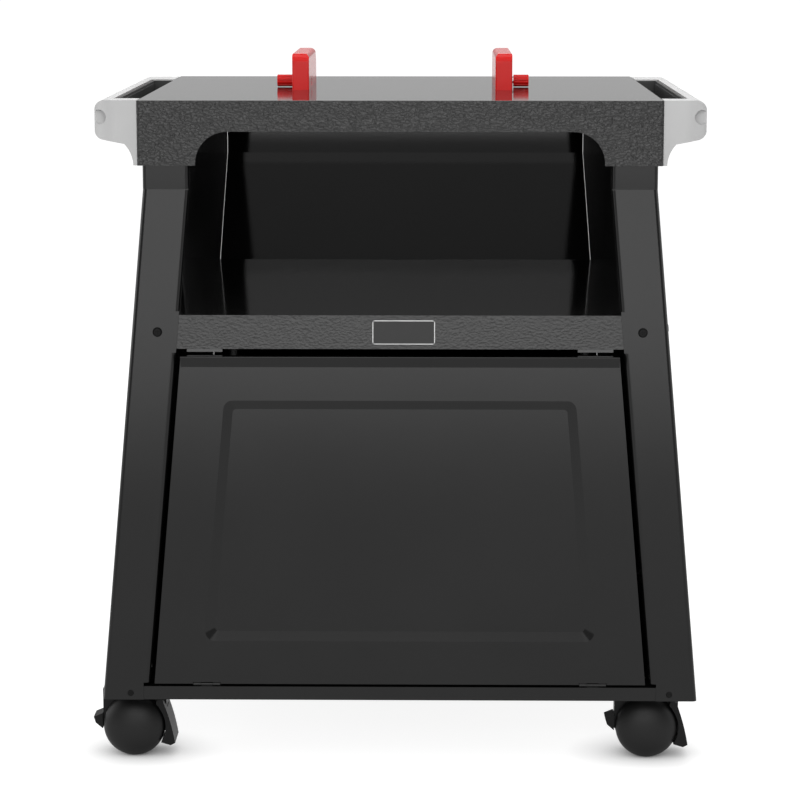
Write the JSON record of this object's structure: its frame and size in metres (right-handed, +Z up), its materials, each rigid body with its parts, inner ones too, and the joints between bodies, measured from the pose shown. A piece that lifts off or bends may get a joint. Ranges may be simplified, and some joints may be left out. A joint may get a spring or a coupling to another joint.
{
  "type": "grill stand",
  "caption": "Free-standing steel grill stand on braked swivel casters, with a clamp-down deck, side handles, an open shelf and a cabinet with a drop-down door.",
  "frame": {"origin": "on the floor, under the middle of the deck", "axes": "+Z up, the front with the door faces -Y, +X to the right of someone facing the front"},
  "size_m": [0.6572, 0.5652, 0.74],
  "materials": {
    "hammertone_paint": "hammertone",
    "black_paint": "satin",
    "light_grey_plastic": "fine grain",
    "grip_rubber": "matte",
    "red_plastic": "satin",
    "pad_rubber": "matte",
    "catch_plastic": "matte",
    "badge_metal": "satin",
    "black_plastic": "satin",
    "wheel_plastic": "polished",
    "zinc_steel": "zinc plated",
    "dark_steel": "black oxide"
  },
  "bodies": {
    "stand": {"back_panel": "black_paint", "back_panel_screws": "dark_steel", "badge_plate": "badge_metal", "bottom_pan": "hammertone_paint", "caster_rivets": "zinc_steel", "front_deck_brace": "black_paint", "front_left_caster_mount": "zinc_steel", "front_right_caster_mount": "zinc_steel", "handle_screws": "dark_steel", "left_door_catch": "catch_plastic", "left_handle": "light_grey_plastic", "left_handle_liner": "grip_rubber", "left_hinge_base": "black_paint", "left_hinge_pin": "zinc_steel", "left_lock_bracket": "red_plastic", "left_side_panel": "black_paint", "lock_screws": "dark_steel", "middle_shelf": "hammertone_paint", "pan_screws": "dark_steel", "rear_deck_brace": "black_paint", "rear_left_caster_mount": "zinc_steel", "rear_right_caster_mount": "zinc_steel", "right_door_catch": "catch_plastic", "right_handle": "light_grey_plastic", "right_handle_liner": "grip_rubber", "right_hinge_base": "black_paint", "right_hinge_pin": "zinc_steel", "right_lock_bracket": "red_plastic", "right_side_panel": "black_paint", "shelf_screws": "dark_steel", "table_top": "hammertone_paint"},
    "door": {"door_panel": "black_paint", "left_hinge_leaf": "black_paint", "left_strike_plate": "zinc_steel", "right_hinge_leaf": "black_paint", "right_strike_plate": "zinc_steel"},
    "left_pad": {"left_lock_pad": "pad_rubber"},
    "left_knob": {"left_lock_knob": "red_plastic", "left_lock_stud": "zinc_steel"},
    "right_pad": {"right_lock_pad": "pad_rubber"},
    "right_knob": {"right_lock_knob": "red_plastic", "right_lock_stud": "zinc_steel"},
    "front_left_swivel": {"front_left_caster_hood": "black_plastic"},
    "front_left_wheel": {"front_left_caster_wheels": "wheel_plastic", "front_left_caster_axle": "zinc_steel"},
    "front_left_pedal": {"front_left_caster_pedal": "black_plastic"},
    "front_right_swivel": {"front_right_caster_hood": "black_plastic"},
    "front_right_wheel": {"front_right_caster_wheels": "wheel_plastic", "front_right_caster_axle": "zinc_steel"},
    "front_right_pedal": {"front_right_caster_pedal": "black_plastic"},
    "rear_left_swivel": {"rear_left_caster_hood": "black_plastic"},
    "rear_left_wheel": {"rear_left_caster_wheels": "wheel_plastic", "rear_left_caster_axle": "zinc_steel"},
    "rear_left_pedal": {"rear_left_caster_pedal": "black_plastic"},
    "rear_right_swivel": {"rear_right_caster_hood": "black_plastic"},
    "rear_right_wheel": {"rear_right_caster_wheels": "wheel_plastic", "rear_right_caster_axle": "zinc_steel"},
    "rear_right_pedal": {"rear_right_caster_pedal": "black_plastic"}
  },
  "joints": [
    {"name": "door_hinge", "type": "hinge", "parent": "stand", "child": "door", "pos_m": [0, -0.27693, 0.0903], "axis": [1, 0, 0], "range_deg": [0, 90]},
    {"name": "left_pad_slide", "type": "slide", "parent": "stand", "child": "left_pad", "axis": [1, 0, 0], "range_m": [-0.0061, 0.0023]},
    {"name": "left_knob_turn", "type": "hinge", "parent": "left_pad", "child": "left_knob", "pos_m": [-0.125, 0.011, 0.7072], "axis": [1, 0, 0], "range_deg": [-2197, 829]},
    {"name": "right_pad_slide", "type": "slide", "parent": "stand", "child": "right_pad", "axis": [-1, 0, 0], "range_m": [-0.0061, 0.0023]},
    {"name": "right_knob_turn", "type": "hinge", "parent": "right_pad", "child": "right_knob", "pos_m": [0.125, 0.011, 0.7072], "axis": [-1, 0, 0], "range_deg": [-2197, 829]},
    {"name": "front_left_swivel_turn", "type": "hinge", "parent": "stand", "child": "front_left_swivel", "pos_m": [-0.27398, -0.22103, 0.06], "axis": [0, 0, 1], "continuous": true},
    {"name": "front_left_wheel_roll", "type": "hinge", "parent": "front_left_swivel", "child": "front_left_wheel", "pos_m": [-0.28458, -0.22103, 0.033], "axis": [0, 1, 0], "continuous": true},
    {"name": "front_left_pedal_lift", "type": "hinge", "parent": "front_left_swivel", "child": "front_left_pedal", "pos_m": [-0.25658, -0.22103, 0.0585], "axis": [0, -1, 0], "range_deg": [0, 14]},
    {"name": "front_right_swivel_turn", "type": "hinge", "parent": "stand", "child": "front_right_swivel", "pos_m": [0.27398, -0.22103, 0.06], "axis": [0, 0, 1], "continuous": true},
    {"name": "front_right_wheel_roll", "type": "hinge", "parent": "front_right_swivel", "child": "front_right_wheel", "pos_m": [0.26338, -0.22103, 0.033], "axis": [0, 1, 0], "continuous": true},
    {"name": "front_right_pedal_lift", "type": "hinge", "parent": "front_right_swivel", "child": "front_right_pedal", "pos_m": [0.29138, -0.22103, 0.0585], "axis": [0, -1, 0], "range_deg": [0, 14]},
    {"name": "rear_left_swivel_turn", "type": "hinge", "parent": "stand", "child": "rear_left_swivel", "pos_m": [-0.27398, 0.22103, 0.06], "axis": [0, 0, 1], "continuous": true},
    {"name": "rear_left_wheel_roll", "type": "hinge", "parent": "rear_left_swivel", "child": "rear_left_wheel", "pos_m": [-0.26338, 0.22103, 0.033], "axis": [0, 1, 0], "continuous": true},
    {"name": "rear_left_pedal_lift", "type": "hinge", "parent": "rear_left_swivel", "child": "rear_left_pedal", "pos_m": [-0.29138, 0.22103, 0.0585], "axis": [0, 1, 0], "range_deg": [0, 14]},
    {"name": "rear_right_swivel_turn", "type": "hinge", "parent": "stand", "child": "rear_right_swivel", "pos_m": [0.27398, 0.22103, 0.06], "axis": [0, 0, 1], "continuous": true},
    {"name": "rear_right_wheel_roll", "type": "hinge", "parent": "rear_right_swivel", "child": "rear_right_wheel", "pos_m": [0.28458, 0.22103, 0.033], "axis": [0, 1, 0], "continuous": true},
    {"name": "rear_right_pedal_lift", "type": "hinge", "parent": "rear_right_swivel", "child": "rear_right_pedal", "pos_m": [0.25658, 0.22103, 0.0585], "axis": [0, 1, 0], "range_deg": [0, 14]}
  ],
  "couplings": [
    {"joint": "left_knob_turn", "follows": "left_pad_slide", "rad_per_m": 6283.2},
    {"joint": "right_knob_turn", "follows": "right_pad_slide", "rad_per_m": 6283.2}
  ]
}
